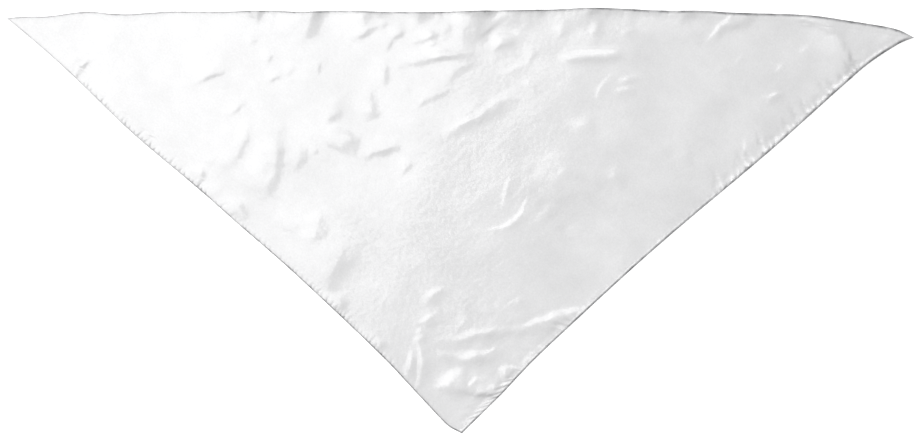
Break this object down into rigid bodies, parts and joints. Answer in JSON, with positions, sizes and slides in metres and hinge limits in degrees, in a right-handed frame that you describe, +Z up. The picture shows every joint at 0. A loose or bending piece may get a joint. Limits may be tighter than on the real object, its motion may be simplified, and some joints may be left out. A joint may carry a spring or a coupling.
{
  "type": "arm sling",
  "caption": "Triangular white satin arm sling laid flat, with a narrow double-turned hem stitched along each side.",
  "frame": {"origin": "bottom centre of the laid cloth's box, on the table", "axes": "+X along the long edge towards the right tip, +Y from the point towards the long edge, +Z up out of the table"},
  "size_m": [1.4388, 0.6718, 0.0015],
  "materials": {
    "satin": "white satin weave, soft sheen",
    "thread": "white spun polyester sewing thread"
  },
  "bodies": {
    "root": {"sling_panel": "satin", "long_edge_hem": "satin", "right_side_hem": "satin", "left_side_hem": "satin", "long_edge_needle_thread": "thread", "right_side_needle_thread": "thread", "left_side_needle_thread": "thread", "long_edge_bobbin_thread": "thread", "right_side_bobbin_thread": "thread", "left_side_bobbin_thread": "thread"}
  },
  "joints": []
}
